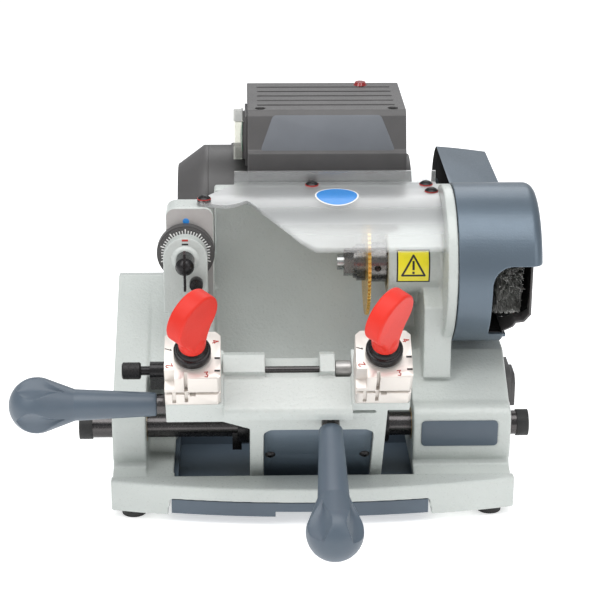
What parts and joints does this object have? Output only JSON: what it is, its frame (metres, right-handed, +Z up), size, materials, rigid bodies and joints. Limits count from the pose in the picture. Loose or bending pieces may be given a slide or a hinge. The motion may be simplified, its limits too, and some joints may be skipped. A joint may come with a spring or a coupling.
{
  "type": "key duplicating machine",
  "caption": "Bench key duplicator: swinging and sliding carriage with clamp jaws, milling cutter, tracer, motor, guard shield and chip tray.",
  "frame": {"origin": "middle of the overall footprint (handles included, carriage at rest), on the bench plane under the feet", "axes": "+X right along the carriage shaft, +Y away from the operator, +Z up"},
  "size_m": [0.3853, 0.3917, 0.2646],
  "materials": {
    "casting_paint": "light grey hammered paint",
    "bluegrey_metal": "blue-grey textured paint",
    "bluegrey_plastic": "satin blue-grey moulding",
    "dark_plastic": "fine-textured dark grey moulding",
    "motor_paint": "satin dark grey paint",
    "black_oxide": "blackened steel",
    "bright_steel": "ground steel",
    "nickel": "satin nickel plate",
    "gold_coat": "gold titanium coating",
    "brush_wire": "crimped wire",
    "red_plastic": "satin red moulding",
    "red_lens": "clear red lens",
    "red_fibre": "red fibre washer",
    "green_plastic": "green rocker",
    "flap_clear": "clear flexible cover",
    "shield_clear": "clear bent sheet",
    "rubber": "black rubber",
    "belt_rubber": "black ribbed belt",
    "brass_bush": "plain bearing bronze"
  },
  "bodies": {
    "frame": {"body_casting": "casting_paint", "rubber_feet": "rubber", "shaft_bushes": "brass_bush", "spindle_bearings": "bright_steel", "motor_housing": "motor_paint", "motor_end_cover": "dark_plastic", "motor_foot": "motor_paint", "control_box": "dark_plastic", "control_box_base": "dark_plastic", "box_screws": "black_oxide", "indicator_lens": "red_lens", "switch_plate": "dark_plastic", "power_inlet": "dark_plastic", "badge_plate": "bluegrey_plastic", "shield": "shield_clear", "shield_screws": "black_oxide", "shield_washers": "red_fibre", "shield_spacer": "bright_steel", "drum_cover": "bluegrey_metal", "brush_guard": "dark_plastic", "belt_cover": "bluegrey_metal", "drive_belt": "belt_rubber", "tracer_bracket": "casting_paint"},
    "spindle": {"spindle_shaft": "bright_steel", "inner_collar": "black_oxide", "cutter": "gold_coat", "outer_flange": "black_oxide", "spindle_nut": "black_oxide", "spindle_pulley": "bright_steel", "wire_brush": "brush_wire"},
    "rotor": {"motor_shaft": "bright_steel", "motor_pulley": "bright_steel"},
    "dial": {"dial_ring": "dark_plastic"},
    "tracer": {"tracer_barrel": "black_oxide", "tracer_blade": "bright_steel"},
    "tracer_lock": {"tracer_lock_screw": "black_oxide"},
    "tray": {"chip_tray": "bluegrey_plastic"},
    "rocker": {"rocker_switch": "green_plastic"},
    "flap": {"switch_flap": "flap_clear"},
    "slider": {"carriage_shaft": "black_oxide", "shaft_caps": "rubber", "stop_collars": "black_oxide"},
    "carriage": {"carriage": "casting_paint", "cover_plate": "bluegrey_metal", "cover_screws": "black_oxide", "lower_jaws": "nickel", "clamp_studs": "bright_steel", "jaw_springs": "bright_steel", "left_handle": "bluegrey_plastic", "front_handle": "bluegrey_plastic", "handle_studs": "black_oxide"},
    "gauge": {"gauge_rod": "bright_steel", "gauge_knob": "black_oxide"},
    "jaw_left": {"upper_jaw_left": "nickel", "washer_stack_left": "black_oxide"},
    "jaw_right": {"upper_jaw_right": "nickel", "washer_stack_right": "black_oxide"},
    "wing_left": {"wing_knob_left": "red_plastic"},
    "wing_right": {"wing_knob_right": "red_plastic"}
  },
  "joints": [
    {"name": "carriage_slide", "type": "slide", "parent": "frame", "child": "slider", "axis": [1, 0, 0], "range_m": [-0.0065, 0.0155]},
    {"name": "carriage_swing", "type": "hinge", "parent": "slider", "child": "carriage", "pos_m": [0.02465, -0.02088, 0.05], "axis": [1, 0, 0], "range_deg": [-32, 0]},
    {"name": "spindle_spin", "type": "hinge", "parent": "frame", "child": "spindle", "pos_m": [0.07465, 0.02112, 0.165], "axis": [1, 0, 0], "continuous": true},
    {"name": "rotor_spin", "type": "hinge", "parent": "frame", "child": "rotor", "pos_m": [0.12465, 0.14412, 0.168], "axis": [1, 0, 0], "continuous": true},
    {"name": "dial_turn", "type": "hinge", "parent": "frame", "child": "dial", "pos_m": [-0.06935, 0.01712, 0.1755], "axis": [0, -1, 0], "range_deg": [-360, 360]},
    {"name": "tracer_advance", "type": "slide", "parent": "frame", "child": "tracer", "axis": [0, -1, 0], "range_m": [-0.0005, 0.0005]},
    {"name": "tracer_lock_turn", "type": "hinge", "parent": "frame", "child": "tracer_lock", "pos_m": [-0.06135, -0.00288, 0.157], "axis": [0, -1, 0], "range_deg": [0, 180]},
    {"name": "tray_pull", "type": "slide", "parent": "frame", "child": "tray", "axis": [0, -1, 0], "range_m": [0, 0.1]},
    {"name": "switch_rock", "type": "hinge", "parent": "frame", "child": "rocker", "pos_m": [-0.02335, 0.12112, 0.237], "axis": [0, 1, 0], "range_deg": [-6, 6]},
    {"name": "flap_lift", "type": "hinge", "parent": "frame", "child": "flap", "pos_m": [-0.02655, 0.12112, 0.253], "axis": [0, 1, 0], "range_deg": [0, 90]},
    {"name": "gauge_turn", "type": "hinge", "parent": "carriage", "child": "gauge", "pos_m": [0.02465, -0.07684, 0.1188], "axis": [1, 0, 0], "range_deg": [0, 170]},
    {"name": "jaw_left_lift", "type": "slide", "parent": "carriage", "child": "jaw_left", "axis": [0, -0.5299, 0.848], "range_m": [0, 0.0021]},
    {"name": "wing_left_turn", "type": "hinge", "parent": "jaw_left", "child": "wing_left", "pos_m": [-0.06205, -0.12157, 0.16396], "axis": [0, -0.5299, 0.848], "range_deg": [0, 360]},
    {"name": "jaw_right_lift", "type": "slide", "parent": "carriage", "child": "jaw_right", "axis": [0, -0.5299, 0.848], "range_m": [0, 0.0021]},
    {"name": "wing_right_turn", "type": "hinge", "parent": "jaw_right", "child": "wing_right", "pos_m": [0.07115, -0.12157, 0.16396], "axis": [0, -0.5299, 0.848], "range_deg": [0, 360]}
  ],
  "couplings": [
    {"joint": "rotor_spin", "follows": "spindle_spin", "ratio": 0.76923},
    {"joint": "dial_turn", "follows": "tracer_advance", "rad_per_m": 12566},
    {"joint": "wing_left_turn", "follows": "jaw_left_lift", "rad_per_m": 2990},
    {"joint": "wing_right_turn", "follows": "jaw_right_lift", "rad_per_m": 2990}
  ]
}
